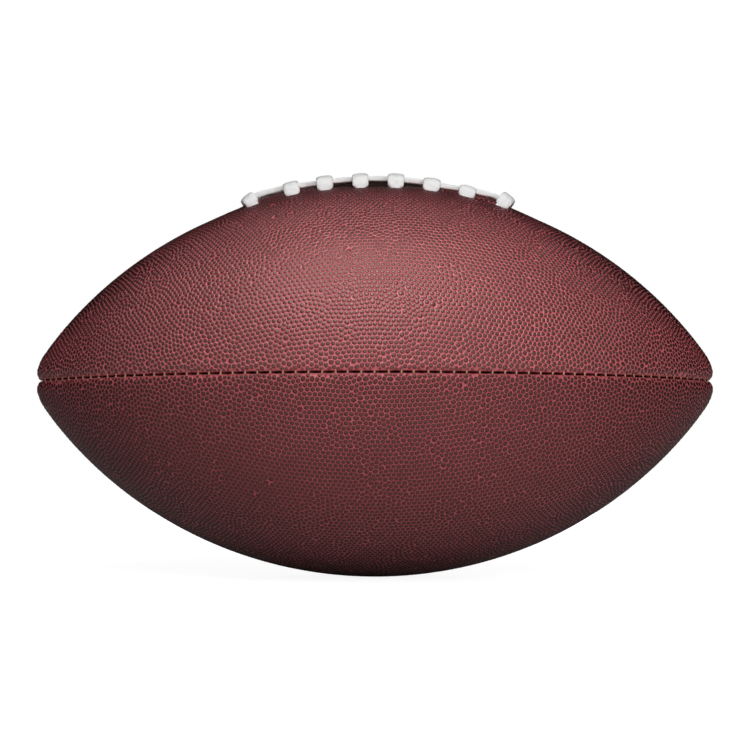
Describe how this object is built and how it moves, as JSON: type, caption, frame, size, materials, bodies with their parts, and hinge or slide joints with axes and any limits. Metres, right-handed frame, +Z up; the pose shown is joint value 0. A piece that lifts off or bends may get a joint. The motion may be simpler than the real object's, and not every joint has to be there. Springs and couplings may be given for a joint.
{
  "type": "american football",
  "caption": "American football with a pebbled brown cover of sewn panels, white cross-bar lacing along the top seam and an inflating valve.",
  "frame": {"origin": "on the ground under the middle of the ball, between the two ridges it stands on", "axes": "+X along the long axis, +Z up through the lacing, -Y towards the side the picture shows"},
  "size_m": [0.2798, 0.161, 0.1664],
  "materials": {
    "cover": "pebbled, satin",
    "lining": "woven, matte",
    "thread": "twisted, waxed",
    "lace": "rough grip",
    "facing": "matte",
    "tongue": "matte",
    "bladder": "smooth",
    "valve": "satin"
  },
  "bodies": {
    "root": {"cover_front_upper": "cover", "cover_front_lower": "cover", "cover_rear_upper": "cover", "cover_rear_lower": "cover", "lining_front_upper": "lining", "lining_front_lower": "lining", "lining_rear_upper": "lining", "lining_rear_lower": "lining", "seam_thread_front": "thread", "seam_thread_rear": "thread", "seam_thread_bottom": "thread", "seam_thread_top_left": "thread", "seam_thread_top_right": "thread", "lace_facing_front": "facing", "lace_facing_rear": "facing", "lace": "lace", "lace_tongue": "tongue", "bladder": "bladder", "valve_stem": "valve", "valve_core": "valve"}
  },
  "joints": []
}
